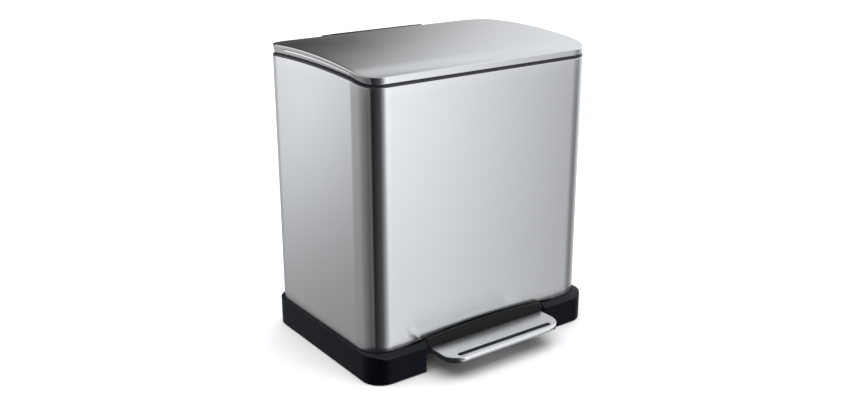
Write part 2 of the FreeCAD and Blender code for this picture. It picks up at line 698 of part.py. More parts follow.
def pedal_carrier():
    """Plastic body under the tread, with the hood that closes the opening behind it."""
    top = "treadTop - treadPlate"
    tray = cut(tread_block("carrierLow", top), behind("treadBack + 3"),
               box(("-beyond", "beyond"), ("treadFront - 5", "treadFront + lipDepth"), ("0", "above")))
    hood = outline("YZ_Plane", [
        ("treadBack", "carrierLow"),
        ("treadBack + 2.6", "carrierLow"),
        ("treadBack + 3.2", "hoodSide - 6"),
        ("treadBack + 9.6", "hoodSide - 3"),
        ("treadBack + 9.6", "hoodSide + 6.5"),
        ("treadBack + 7", "hoodSide + 6.5"),
        ("treadBack + 2.6", "hoodSide - 1"),
        ("treadBack + 0.1", f"{top} + 3"),
        ("treadBack + 0.1", top),
        ("treadBack", top),
    ], "2 * hoodHalf")
    crown = outline("XZ_Plane", [
        ("-hoodHalf - 1", "0"),
        ("hoodHalf + 1", "0"),
        ("hoodHalf + 1", "hoodSide", "hoodRise"),
        ("-hoodHalf - 1", "hoodSide"),
    ], "100")
    bind(crown, "Placement.Base.y", "centreY + treadBack")
    holes = [cylinder("z", place, ("carrierLow - 5", "carrierLow + 5"), "smallScrew")
             for place in PEDAL_SCREWS]
    return cut(fuse(tray, common(hood, crown)), grip_block("treadTop - 3", "treadTop + 2"), *holes)


def pedal_frame():
    """Folded steel frame: a plate under the carrier and two arms back to the axle."""
    plate = box(("-armOuter", "armOuter"), ("-172", "-126"), ("carrierLow - 2.5", "carrierLow"))
    arms = []
    for side in (-1, 1):
        arms.append(outline("YZ_Plane", [
            ("-150", "carrierLow - 2.5"),
            ("-120", "carrierLow - 4"),
            ("axleY - 4", "axleZ - 9"),
            ("axleY + 9", "axleZ - 9"),
            ("axleY + 9", "axleZ + 7"),
            ("axleY - 9", "axleZ + 7"),
            ("-120", "carrierLow + 6"),
            ("-134", "carrierLow"),
            ("-150", "carrierLow"),
        ], "armThick", f"{side} * (armOuter - armThick / 2)"))
    crossbar = box(("-armOuter", "armOuter"), ("axleY + 5", "axleY + 9"), ("axleZ - 9", "axleZ - 5.5"))
    bore = cylinder("x", PEDAL_AXIS, ("-armOuter - 5", "armOuter + 5"), "crankPin + running")
    holes = [cylinder("z", place, ("carrierLow - 10", "carrierLow + 5"), "smallScrew")
             for place in PEDAL_SCREWS]
    return cut(fuse(plate, crossbar, *arms), bore, *holes)


def pedal_screws():
    under = "carrierLow - 2.5"
    return group([screw("z", place, (f"{under} - 2", under), (f"{under} - 1", "carrierLow + 5"),
                        "smallScrewHead", "smallScrew") for place in PEDAL_SCREWS])


def pedal_lever():
    """Long lever from the axle back to the push rod."""
    bar = outline("YZ_Plane", [
        ("axleY - 9", "axleZ - 5.5"),
        ("axleY + 9", "axleZ - 5.5"),
        ("rodY + 8", "footZ - 5.5"),
        ("rodY + 8", "footZ + 4"),
        ("axleY + 9", "axleZ + 7"),
        ("axleY - 9", "axleZ + 7"),
    ], "2 * armThick")
    bore = cylinder("x", PEDAL_AXIS, ("-10", "10"), "crankPin + running")
    slot = box(("-10", "10"), ("rodY - crankPin - 1.4", "rodY + crankPin + 0.5"),
               ("footZ - crankPin - 0.25", "footZ + crankPin + 0.25"))
    return cut(bar, bore, slot)


def axle_spacers():
    tubes = []
    for side in (-1, 1):
        span = mirrored("armThick + 0.4", "armOuter - armThick - 0.4", side)
        tubes.append(cut(cylinder("x", PEDAL_AXIS, span, "crankPin + 2"),
                         cylinder("x", PEDAL_AXIS, ("-60", "60"), "crankPin + running")))
    return group(tubes)


def pedal_bracket(side):
    wall = box(mirrored("bracketInner", "bracketInner + bracketThick", side),
               ("axleY - 14", "axleY + 14"), ("axleZ - 10", "floorLow"))
    flange = box(mirrored("bracketInner", "bracketInner + 14", side), ("axleY - 14", "axleY + 14"),
                 ("floorLow - bracketThick", "floorLow"))
    holes = [cylinder("z", place, ("floorLow - 10", "floorLow + 5"), "smallScrew")
             for place in BRACKET_SCREWS]
    return cut(fuse(wall, flange), cylinder("x", PEDAL_AXIS, ("-80", "80"), "crankPin"), *holes)


def bracket_screws():
    under = "floorLow - bracketThick"
    return group([screw("z", place, (f"{under} - 2", under), (f"{under} - 1", "floorTop - 0.5"),
                        "smallScrewHead", "smallScrew") for place in BRACKET_SCREWS])


def pedal_axle():
    return cylinder("x", PEDAL_AXIS, ("-bracketInner - 6", "bracketInner + 6"), "crankPin")


def axle_clips():
    clips = []
    for side in (-1, 1):
        span = mirrored("bracketInner + bracketThick + 0.2", "bracketInner + bracketThick + 1.4", side)
        clips.append(cut(cylinder("x", PEDAL_AXIS, span, "crankPin + 3"),
                         cylinder("x", PEDAL_AXIS, ("-80", "80"), "crankPin")))
    return group(clips)


def lever_buffer():
    return cylinder("z", ("0", "bufferY"), ("bufferLow", "floorLow"), "5")


# ---------------------------------------------------------------- bucket

def inner_bucket():
    low = "floorTop + 0.2"
    foot = ("bucketWidth - 2 * bucketTaper", "bucketDepth - 2 * bucketTaper", "28")
    mouth = ("bucketWidth", "bucketDepth", "36")
    foot_inside = ("bucketWidth - 2 * bucketTaper - 2 * bucketWall",
                   "bucketDepth - 2 * bucketTaper - 2 * bucketWall", "26")
    mouth_inside = ("bucketWidth - 2 * bucketWall", "bucketDepth - 2 * bucketWall", "34")
    outside = tapered(foot, mouth, (low, "bucketTop"), "bucketY")
    inside = tapered(foot_inside, mouth_inside, (f"{low} + bucketWall", "bucketTop + 4"), "bucketY")
    rim = prism("bucketWidth + 2 * bucketRim", "bucketDepth + 2 * bucketRim", "39",
                ("bucketTop - 14", "bucketTop"), "bucketY")
    under_rim = prism("bucketWidth + 2 * bucketRim - 4", "bucketDepth + 2 * bucketRim - 4", "37",
                      ("bucketTop - 20", "bucketTop - 3"), "bucketY")
    return cut(fuse(outside, cut(rim, under_rim)), inside)


# ---------------------------------------------------------------- the whole bin

PARTS = {
    "body_shell": body_shell,
    "top_rim": top_rim,
    "base_skirt": base_skirt,
    "bottom_plate": bottom_plate,
    "base_screws": base_screws,
    "feet": feet,
    "hinge_bracket": hinge_bracket,
    "hinge_pin": hinge_pin,
    "hinge_backing_plate": hinge_backing_plate,
    "hinge_screws": hinge_screws,
    "rear_channel": rear_channel,
    "rod_guide_upper": lambda: rod_guide("350"),
    "rod_guide_lower": lambda: rod_guide("80"),
    "damper_cylinder": damper_cylinder,
    "damper_cap": damper_cap,
    "damper_clips": damper_clips,
    "pedal_bracket_left": lambda: pedal_bracket(-1),
    "pedal_bracket_right": lambda: pedal_bracket(1),
    "bracket_screws": bracket_screws,
    "pedal_axle": pedal_axle,
    "axle_clips": axle_clips,
    "lever_buffer": lever_buffer,
    "lid_skin": lid_skin,
    "lid_liner": lid_liner,
    "hinge_barrel": hinge_barrel,
    "lid_crank": lid_crank,
    "crank_pin": crank_pin,
    "crank_screws": crank_screws,
    "lid_buffers": lid_buffers,
    "push_rod": push_rod,
    "rod_head": rod_head,
    "rod_foot": rod_foot,
    "rod_foot_pin": rod_foot_pin,
    "damper_arm": damper_arm,
    "damper_piston": damper_piston,
    "pedal_tread": pedal_tread,
    "pedal_grip": pedal_grip,
    "pedal_carrier": pedal_carrier,
    "pedal_frame": pedal_frame,
    "pedal_screws": pedal_screws,
    "pedal_lever": pedal_lever,
    "axle_spacers": axle_spacers,
    "inner_bucket": inner_bucket,
}

for part_label, build in PARTS.items():
    node(part_label, build())
doc.recompute()

for item in doc.Objects:
    if "Invalid" in item.State or "Error" in item.State:
        raise RuntimeError(f"{item.Label} failed: {item.State}")
for item in nodes:
    if item.Shape.isNull() or not item.Shape.isValid() or not item.Shape.Solids:
        raise RuntimeError(f"{item.Label} has no valid solid")

os.makedirs("parts", exist_ok=True)
for item in nodes:
    item.Shape.exportStep(f"parts/{item.Label}.step")
    print(f"{item.Label:22s} {len(item.Shape.Solids):2d} solids {item.Shape.Volume / 1000:9.2f} cm3")
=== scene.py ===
"""Looks of the pedal bin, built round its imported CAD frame.

Shapes are written in millimetres, with y from the middle of the steel box, and turned into metres
in the frame's axes by place(). Most pieces are closed meshes lofted through rings of points.
"""
import json
import math
import bmesh
import bpy
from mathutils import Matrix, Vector


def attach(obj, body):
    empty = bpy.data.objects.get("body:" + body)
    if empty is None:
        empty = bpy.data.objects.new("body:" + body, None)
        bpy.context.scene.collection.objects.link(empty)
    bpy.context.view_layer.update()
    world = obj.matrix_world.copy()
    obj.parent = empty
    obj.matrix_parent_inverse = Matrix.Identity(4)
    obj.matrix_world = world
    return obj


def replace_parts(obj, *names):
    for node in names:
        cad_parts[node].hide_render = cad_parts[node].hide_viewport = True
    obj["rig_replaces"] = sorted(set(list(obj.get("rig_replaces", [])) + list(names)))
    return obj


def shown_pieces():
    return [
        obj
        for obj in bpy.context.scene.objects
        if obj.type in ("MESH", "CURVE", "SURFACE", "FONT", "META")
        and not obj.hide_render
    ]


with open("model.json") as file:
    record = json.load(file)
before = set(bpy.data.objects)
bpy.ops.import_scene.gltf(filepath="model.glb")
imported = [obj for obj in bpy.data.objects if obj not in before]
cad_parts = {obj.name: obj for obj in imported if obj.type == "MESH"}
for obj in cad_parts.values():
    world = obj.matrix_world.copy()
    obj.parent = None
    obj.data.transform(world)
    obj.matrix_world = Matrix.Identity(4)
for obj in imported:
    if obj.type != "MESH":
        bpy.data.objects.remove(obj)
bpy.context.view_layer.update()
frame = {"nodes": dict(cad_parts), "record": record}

MM = 0.001
CENTRE_Y = 19.5
LONG, SHORT, TURN = 96, 64, 20   # points along the wide edges, the deep edges and each corner


# ---------------------------------------------------------------- numbers

def place(point):
    return Vector((point[0] * MM, (point[1] + CENTRE_Y) * MM, point[2] * MM))


def smooth(value, low, high):
    """0 below low, 1 above high, and a soft step between them."""
    t = min(1.0, max(0.0, (value - low) / (high - low)))
    return t * t * (3 - 2 * t)


def arc(value, low, high, rise):
    """Height above its chord of a circular arc from low to high."""
    if not low < value < high:
        return 0.0
    half = (high - low) / 2
    radius = (half * half + rise * rise) / (2 * rise)
    return math.sqrt(radius * radius - (value - low - half) ** 2) - (radius - rise)


def stepped(value, stops):
    """A chain of straight lines through (value, height) stops."""
    if value <= stops[0][0]:
        return stops[0][1]
    for (x0, z0), (x1, z1) in zip(stops, stops[1:]):
        if value <= x1:
            return z0 + (z1 - z0) * (value - x0) / (x1 - x0)
    return stops[-1][1]


def softened(height, value, reach, count=9):
    """The mean of a height over a short stretch, which rounds off its kinks."""
    steps = [reach * (2 * k / (count - 1) - 1) for k in range(count)]
    return sum(height(value + step) for step in steps) / count


def edge_raw(y):
    return stepped(y, [(-121.5, 400.0), (-98.0, 406.0), (145.0, 404.0)]) + arc(y, -98.0, 145.0, 4.7)


def lid_raw(y):
    return stepped(y, [(-124.0, 413.2), (-98.0, 419.0), (145.0, 418.7)]) + arc(y, -98.0, 145.0, 7.3)


def edge_top(y):
    """Upper edge of the steel box."""
    return softened(edge_raw, y, 5.0)


def lid_top(y):
    return softened(lid_raw, y, 6.0)


def front_low(x, y):
    """Lower edge of the steel box, raised in an arc along the front."""
    return 42.0 + (arc(x, -135.0, 135.0, 9.5) if y < -125 else 0.0)


def ledge(x, y):
    """Top of the base, which slopes down towards the pedal in front of the steel."""
    return 42.0 - 0.5 * max(0.0, -133.0 - y) - 0.25 * smooth(-y, 129.0, 133.0)


# ---------------------------------------------------------------- meshes

def plan(width, depth, front, back=None, middle=0.0, counts=(LONG, SHORT, TURN)):
    """Points (x, y, nx, ny) round a rounded rectangle, anticlockwise from the middle of its back."""
    across, along = width / 2, depth / 2
    back = front if back is None else back
    long, short, turn = counts
    turns = [(-across + back, along - back, 90, back), (-across + front, -along + front, 180, front),
             (across - front, -along + front, 270, front), (across - back, along - back, 0, back)]
    points = []
    here = (0.0, along)

    def straight(end, count, angle):
        way = (math.cos(math.radians(angle)), math.sin(math.radians(angle)))
        for k in range(count):
            t = k / count
            points.append((here[0] + (end[0] - here[0]) * t,
                           here[1] + (end[1] - here[1]) * t + middle, *way))

    for (x, y, first, radius), count in zip(turns, (long // 2, short, long, short)):
        start = (x + radius * math.cos(math.radians(first)), y + radius * math.sin(math.radians(first)))
        straight(start, count, first)
        for k in range(turn):
            a = math.radians(first + 90 * k / turn)
            points.append((x + radius * math.cos(a), y + radius * math.sin(a) + middle,
                           math.cos(a), math.sin(a)))
        last = math.radians(first + 90)
        here = (x + radius * math.cos(last), y + radius * math.sin(last))
    straight((0.0, along), long // 2, 90)
    return points


def inset_plan(width, depth, corner, inset, middle=0.0):
    """The same rounded rectangle pulled in by inset."""
    return plan(width - 2 * inset, depth - 2 * inset, max(corner - inset, 0.4), middle=middle)


def ring(points, height):
    """Lift a plan to a height, a number or a function of x and y."""
    return [(p[0], p[1], height(p[0], p[1]) if callable(height) else height) for p in points]


def mesh_object(build, name, sharp=38.0):
    bmesh.ops.recalc_face_normals(build, faces=build.faces)
    mesh = bpy.data.meshes.new(name)
    build.to_mesh(mesh)
    build.free()
    mesh.shade_smooth()
    mesh.set_sharp_from_angle(angle=math.radians(sharp))
    item = bpy.data.objects.new(name, mesh)
    bpy.context.scene.collection.objects.link(item)
    return item


def loft(name, rings, closed=False, sharp=38.0):
    """A closed mesh through rings of points.

    closed joins the last ring to the first; otherwise both ends are capped.
    """
    build = bmesh.new()
    grain = build.loops.layers.uv.new("grain")
    count = len(rings[0])
    rows = [[build.verts.new(place(point)) for point in one] for one in rings]
    middle = rings[len(rings) // 2]
    length = [0.0]
    for k in range(count):
        length.append(length[-1] + (place(middle[k]) - place(middle[(k + 1) % count])).length)
    for j in range(len(rows) if closed else len(rows) - 1):
        upper = (j + 1) % len(rows)
        for i in range(count):
            k = (i + 1) % count
            face = build.faces.new((rows[j][i], rows[j][k], rows[upper][k], rows[upper][i]))
            face.normal_update()
            flat = abs(face.normal.z) > 0.7
            for loop, at in zip(face.loops, (i, i + 1, i + 1, i)):
                here = loop.vert.co
                loop[grain].uv = (here.x, here.y) if flat else (length[at], here.z)
    if not closed:
        for row in (rows[0][::-1], rows[-1]):
            face = build.faces.new(row)
            for loop in face.loops:
                loop[grain].uv = loop.vert.co.xy
    return mesh_object(build, name, sharp)


def turned(name, profile, centre, axis="z", segments=48, closed=False, sharp=38.0):
    """A turned part; profile is (radius, distance along the axis) from the centre."""
    rings = []
    for radius, along in profile:
        one = []
        for k in range(segments):
            a = 2 * math.pi * k / segments
            u, v = radius * math.cos(a), radius * math.sin(a)
            step = {"x": (along, u, v), "y": (u, along, v), "z": (u, v, along)}[axis]
            one.append(tuple(c + s for c, s in zip(centre, step)))
        rings.append(one)
    return loft(name, rings, closed, sharp)


def block(name, low, high, round_by=0.6, segments=2):
    """A box with rounded edges."""
    build = bmesh.new()
    build.loops.layers.uv.new("grain")
    bmesh.ops.create_cube(build, size=1.0)
    for vert in build.verts:
        vert.co = place([lo + (hi - lo) * (c + 0.5) for lo, hi, c in zip(low, high, vert.co)])
    if round_by:
        bmesh.ops.bevel(build, geom=list(build.edges), offset=round_by * MM, segments=segments,
                        profile=0.5, affect="EDGES")
    return mesh_object(build, name)


def settle(item):
    """Turn an object's modifiers into its mesh."""
    graph = bpy.context.evaluated_depsgraph_get()
    mesh = bpy.data.meshes.new_from_object(item.evaluated_get(graph))
    item.modifiers.clear()
    item.data = mesh


def carve(item, *tools):
    """Take tools out of an item."""
    for tool in tools:
        change = item.modifiers.new("carve", "BOOLEAN")
        change.object = tool
        change.operation = "DIFFERENCE"
        change.solver = "EXACT"
    settle(item)
    for tool in tools:
        bpy.data.objects.remove(tool)
    return item


def soften(item, width, angle=40.0, segments=2):
    """Round the sharp edges of an item a little, as a modifier."""
    change = item.modifiers.new("soften", "BEVEL")
    change.width = width * MM
    change.segments = segments
    change.limit_method = "ANGLE"
    change.angle_limit = math.radians(angle)
    change.use_clamp_overlap = True
    change.harden_normals = False
    even = item.modifiers.new("even", "WEIGHTED_NORMAL")
    even.keep_sharp = True
    return item


def unite(name, items):
    """One object from several closed parts."""
    build = bmesh.new()
    for item in items:
        build.from_mesh(item.data)
        bpy.data.objects.remove(item)
    return mesh_object(build, name)


# ---------------------------------------------------------------- materials

class Shader:
    """A node material with one Principled shader."""

    def __init__(self, name, **fixed):
        self.material = bpy.data.materials.new(name)
        self.material.use_nodes = True
        self.nodes = self.material.node_tree.nodes
        self.links = self.material.node_tree.links
        self.surface = self.nodes["Principled BSDF"]
        for socket, value in fixed.items():
            self.surface.inputs[socket.replace("_", " ")].default_value = value

    def node(self, kind, **settings):
        made = self.nodes.new(kind)
        for key, value in settings.items():
            setattr(made, key, value)
        return made

    def wire(self, source, target):
        self.links.new(source, target)

    def coordinates(self, scale=(1, 1, 1), grain=False):
        """Object coordinates in metres, or lengths along and across the grain."""
        mapping = self.node("ShaderNodeMapping")
        mapping.inputs["Scale"].default_value = scale
        if grain:
            source = self.node("ShaderNodeUVMap", uv_map="grain").outputs["UV"]
        else:
            source = self.node("ShaderNodeTexCoord").outputs["Object"]
        self.wire(source, mapping.inputs["Vector"])
        return mapping.outputs["Vector"]

    def noise(self, scale, stretch=(1, 1, 1), grain=False, detail=3.0, rough=0.55):
        made = self.node("ShaderNodeTexNoise")
        made.inputs["Scale"].default_value = scale
        made.inputs["Detail"].default_value = detail
        made.inputs["Roughness"].default_value = rough
        self.wire(self.coordinates(stretch, grain), made.inputs["Vector"])
        return made.outputs["Fac"]

    def spread(self, source, low, high, start=0.3, stop=0.7):
        """Map a 0 to 1 signal onto low to high."""
        made = self.node("ShaderNodeMapRange", clamp=True)
        for key, value in zip(("From Min", "From Max", "To Min", "To Max"), (start, stop, low, high)):
            made.inputs[key].default_value = value
        self.wire(source, made.inputs["Value"])
        return made.outputs["Result"]

    def blend(self, factor, first, second):
        """Mix two colours by a signal."""
        made = self.node("ShaderNodeMix", data_type="RGBA")
        self.wire(factor, made.inputs["Factor"])
        for socket, colour in ((made.inputs[6], first), (made.inputs[7], second)):
            if isinstance(colour, tuple):
                socket.default_value = (*colour, 1.0)
            else:
                self.wire(colour, socket)
        return made.outputs[2]

    def sum(self, *sources):
        total = sources[0]
        for source in sources[1:]:
            made = self.node("ShaderNodeMath", operation="ADD")
            self.wire(total, made.inputs[0])
            self.wire(source, made.inputs[1])
            total = made.outputs[0]
        return total

    def upward(self, start=0.55, stop=0.85):
        """1 on surfaces that face up, where a lighter colour is painted as a highlight."""
        made = self.node("ShaderNodeSeparateXYZ")
        self.wire(self.node("ShaderNodeNewGeometry").outputs["Normal"], made.inputs[0])
        return self.spread(made.outputs["Z"], 0.0, 1.0, start, stop)

    def edges(self, start=0.52, stop=0.62):
        """1 on convex edges, where handling wears the finish; on the pedal's plastic also where a
        highlight is painted.
        """
        geometry = self.node("ShaderNodeNewGeometry")
        return self.spread(geometry.outputs["Pointiness"], 0.0, 1.0, start, stop)

    def bump(self, *layers):
        """Stack of (signal, height in mm)."""
        normal = None
        for signal, height in layers:
            made = self.node("ShaderNodeBump")
            made.inputs["Strength"].default_value = 1.0
            made.inputs["Distance"].default_value = height * MM
            self.wire(signal, made.inputs["Height"])
            if normal is not None:
                self.wire(normal, made.inputs["Normal"])
            normal = made.outputs["Normal"]
        self.wire(normal, self.surface.inputs["Normal"])

    def colour(self, source):
        self.wire(source, self.surface.inputs["Base Color"])

    def roughness(self, source):
        self.wire(source, self.surface.inputs["Roughness"])


def brushed_steel(name, tone, low=0.19, high=0.215, anisotropy=0.9, turn=0.25):
    """Fine brushed stainless sheet with a thin clear finish against finger marks."""
    make = Shader(name, Metallic=1.0, Anisotropic=anisotropy, Anisotropic_Rotation=turn,
                  Specular_IOR_Level=0.5)
    tangent = make.node("ShaderNodeTangent", direction_type="UV_MAP", uv_map="grain")
    make.wire(tangent.outputs["Tangent"], make.surface.inputs["Tangent"])
    hair = make.noise(1.0, (60, 5200, 1), grain=True, detail=4.0, rough=0.6)
    streak = make.noise(1.0, (14, 900, 1), grain=True, detail=3.0)
    cloud = make.noise(9.0, detail=2.0)
    bright = tuple(min(1.0, c * 1.02) for c in tone)
    dull = tuple(c * 0.975 for c in tone)
    fine = make.blend(make.spread(hair, 0.0, 1.0), dull, bright)
    wide = make.blend(make.spread(streak, 0.0, 0.5), fine, tone)
    make.colour(make.blend(make.edges(0.56, 0.70), wide, bright))
    edge_wear_and_highlight = make.spread(make.edges(0.56, 0.70), 0.0, -0.04, 0.0, 1.0)
    make.roughness(make.sum(make.spread(hair, low, high), make.spread(cloud, -0.012, 0.012), edge_wear_and_highlight))
    make.bump((hair, 0.0002))
    return make.material


def moulded_plastic(name, tone, low=0.34, high=0.42, grainy=0.005, edge_wear_and_highlight=1.5, specular=0.14,
                    tint=(1.0, 1.0, 1.0), dust_and_sheen=None):
    """Injection-moulded plastic with a fine spark-eroded texture; the last argument is a lighter colour
    painted on faces that point up, a painted highlight on its ledges.
    """
    make = Shader(name, IOR=1.5, Specular_IOR_Level=specular, Specular_Tint=(*tint, 1.0))
    texture = make.noise(1900.0, detail=2.0, rough=0.5)
    flow = make.noise(34.0, (1, 1, 0.35), detail=3.0)
    # edges are lighter by this factor: wear, and where the factor is large a painted highlight
    light = tuple(c * edge_wear_and_highlight for c in tone)
    deep = tuple(c * 0.86 for c in tone)
    body = make.blend(make.spread(flow, 0.0, 1.0), deep, tone)
    edged = make.blend(make.edges(), body, light)
    # faces that point up take the lighter colour: a painted highlight of the light from above
    make.colour(make.blend(make.upward(), edged, dust_and_sheen) if dust_and_sheen else edged)
    make.roughness(make.sum(make.spread(texture, low, high), make.spread(flow, -0.02, 0.02)))
    make.bump((texture, grainy))
    return make.material


def rubber(name, tone):
    make = Shader(name, IOR=1.52, Specular_IOR_Level=0.35)
    texture = make.noise(1400.0, detail=3.0)
    dust_and_sheen = make.noise(60.0, detail=4.0)
    light = tuple(c * 2.0 + 0.008 for c in tone)
    make.colour(make.blend(make.spread(dust_and_sheen, 0.0, 0.35), tone, light))
    make.roughness(make.spread(texture, 0.62, 0.8))
    make.bump((texture, 0.012))
    return make.material


def zinc_plate(name):
    """Bright zinc plating with a faint spangle and a blue passivation."""
    make = Shader(name, Metallic=1.0)
    crystal = make.node("ShaderNodeTexVoronoi")
    crystal.inputs["Scale"].default_value = 420.0
    make.wire(make.coordinates(), crystal.inputs["Vector"])
    shade = make.node("ShaderNodeSeparateColor")
    make.wire(crystal.outputs["Color"], shade.inputs["Color"])
    cool = make.blend(make.spread(shade.outputs["Red"], 0.0, 1.0, 0.0, 1.0), (0.50, 0.52, 0.545),
                      (0.59, 0.60, 0.60))
    drift = make.noise(30.0, detail=3.0)
    make.colour(make.blend(make.spread(drift, 0.0, 0.4), cool, (0.56, 0.55, 0.49)))
    make.roughness(make.sum(make.spread(drift, 0.30, 0.42),
                            make.spread(shade.outputs["Red"], 0.0, 0.06, 0, 1)))
    make.bump((make.noise(900.0, detail=2.0), 0.004))
    return make.material


def drawn_metal(name):
    """Cold-drawn tube with lines along its length."""
    make = Shader(name, Metallic=1.0, Anisotropic=0.4)
    lines = make.noise(1.0, (2600, 2600, 25), detail=3.0)
    make.colour(make.blend(make.spread(lines, 0.0, 1.0), (0.56, 0.57, 0.59), (0.66, 0.67, 0.69)))
    make.roughness(make.spread(lines, 0.2, 0.34))
    make.bump((lines, 0.002))
    return make.material


def natural_plastic(name):
    """Unpigmented low-friction plastic, a little translucent."""
    make = Shader(name, IOR=1.48, Subsurface_Weight=0.15, Subsurface_Scale=0.004)
    flow = make.noise(55.0, detail=3.0)
    make.colour(make.blend(make.spread(flow, 0.0, 1.0), (0.50, 0.495, 0.46), (0.60, 0.595, 0.57)))
    make.roughness(make.spread(flow, 0.38, 0.5))
    make.bump((make.noise(1500.0, detail=2.0), 0.005))
    return make.material


SLOTS = {
    "body_steel": brushed_steel("steel_body", (0.70, 0.71, 0.72)),
    "lid_steel": brushed_steel("steel_lid", (0.70, 0.71, 0.72)),
    "pedal_steel": brushed_steel("steel_pedal", (0.76, 0.77, 0.78), 0.20, 0.23),
    # its ledges and other faces that point up are painted lighter: a painted highlight
    "base_plastic": moulded_plastic("plastic_base", (0.0010, 0.0015, 0.0035), specular=0.12,
                                    tint=(0.62, 0.74, 1.0), dust_and_sheen=(0.0130, 0.0140, 0.0165)),
    "black_trim": moulded_plastic("plastic_trim", (0.0045, 0.0052, 0.0068), 0.32, 0.40),
    # its edges are lit far beyond wear: a painted highlight along the crest of the hood
    "pedal_plastic": moulded_plastic("plastic_pedal", (0.0070, 0.0072, 0.0088), 0.36, 0.44, edge_wear_and_highlight=4.5),
    "guide_plastic": natural_plastic("plastic_guide"),
    "bucket_plastic": moulded_plastic("plastic_bucket", (0.050, 0.052, 0.056), 0.42, 0.52, 0.008, 1.2),
    "foot_rubber": rubber("rubber_feet", (0.022, 0.022, 0.022)),
    "grip_rubber": rubber("rubber_grip", (0.010, 0.011, 0.012)),
    "zinc_steel": zinc_plate("steel_zinc"),
    "damper_metal": drawn_metal("metal_damper"),
}
# the same slot as black_trim, for the two glossier rims that meet at the lid; its lighter colour paints
# in the light the rims catch in the gap between box and lid
GLOSSIER_LIT_TRIM = moulded_plastic("plastic_rim", (0.020, 0.022, 0.028), 0.24, 0.30, specular=0.7)


def finish_piece(item, body, slot, *nodes, soft=None, finish=None):
    """Give a piece its finish, hang it on its body and let it stand for its CAD nodes."""
    item.data.materials.clear()
    item.data.materials.append(finish or SLOTS[slot])
    if soft:
        soften(item, soft)
    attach(item, body)
    if nodes:
        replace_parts(item, *nodes)
    return item


# ---------------------------------------------------------------- steel box

BODY = (379.0, 261.0, 34.0)
SHEET = 0.8


def body_shell():
    """One folded sheet with softly broken edges, closed as a thin wall."""
    def wall(inset, share):
        return ring(inset_plan(*BODY, inset),
                    lambda x, y: (front_low(x, y) + 0.4) * (1 - share) + (edge_top(y) - 1.2) * share)

    def at(inset, low=None, high=None):
        return ring(inset_plan(*BODY, inset),
                    lambda x, y: front_low(x, y) + low if high is None else edge_top(y) - high)

    rings = [at(0.4, low=0.0), at(0.12, low=0.12)]
    rings += [wall(0.0, k / 24) for k in range(25)]
    rings += [at(0.72 - 0.72 * math.cos(a), high=1.2 - 1.2 * math.sin(a))
              for a in (math.radians(15 * k) for k in range(1, 7))]
    rings += [at(0.78, high=0.1)]
    rings += [wall(SHEET, 1 - k / 12) for k in range(13)]
    rings += [at(0.68, low=0.12)]
    return loft("bin_body", rings, closed=True, sharp=60)


def top_rim():
    """Plastic collar in the mouth of the box, with a lip over the steel's edge, and the deck behind."""
    def at(inset, lift):
        return ring(inset_plan(*BODY, inset), lambda x, y: edge_top(y) + lift)

    def low(inset, z):
        return ring(inset_plan(*BODY, inset), z)

    rings = [at(0.9, 0.05), at(0.7, 0.2), at(0.25, 0.35), at(0.05, 0.7), at(0.05, 1.5), at(0.15, 1.85),
             at(0.5, 2.0), at(2.8, 2.0), at(3.2, 1.84), at(3.4, 1.4), at(3.4, -8.0), low(3.4, 373.2),
             low(3.25, 372.5), low(2.9, 372.1), low(1.4, 372.1), low(1.0, 372.5), low(0.9, 373.2),
             at(0.9, -8.0)]
    collar = loft("rim_collar", rings, closed=True)
    deck = block("rim_deck", (-186.0, 100.0, 392.2), (186.0, 127.6, 395.0), 0.8)
    corners = plan(*[BODY[0] - 4.0, BODY[1] - 4.0, BODY[2] - 2.0])
    keep = loft("rim_keep", [ring(corners, 380.0), ring(corners, 398.0)])
    change = deck.modifiers.new("keep", "BOOLEAN")
    change.object = keep
    change.operation = "INTERSECT"
    change.solver = "EXACT"
    settle(deck)
    bpy.data.objects.remove(keep)
    carve(deck, block("rim_slot", (-17.0, 90.0, 380.0), (17.0, 127.9, 400.0), 1.5))
    ribs = [block("rim_rib", (side * 60.0 - 1.0, 101.5, 388.5), (side * 60.0 + 1.0, 126.5, 392.6), 0.3)
            for side in (-2.0, -1.0, 1.0, 2.0)]
    return unite("bin_top_rim", [collar, deck, *ribs])


# ---------------------------------------------------------------- base

BASE = (385.4, 275.5, 30.0)
BASE_Y = -4.75


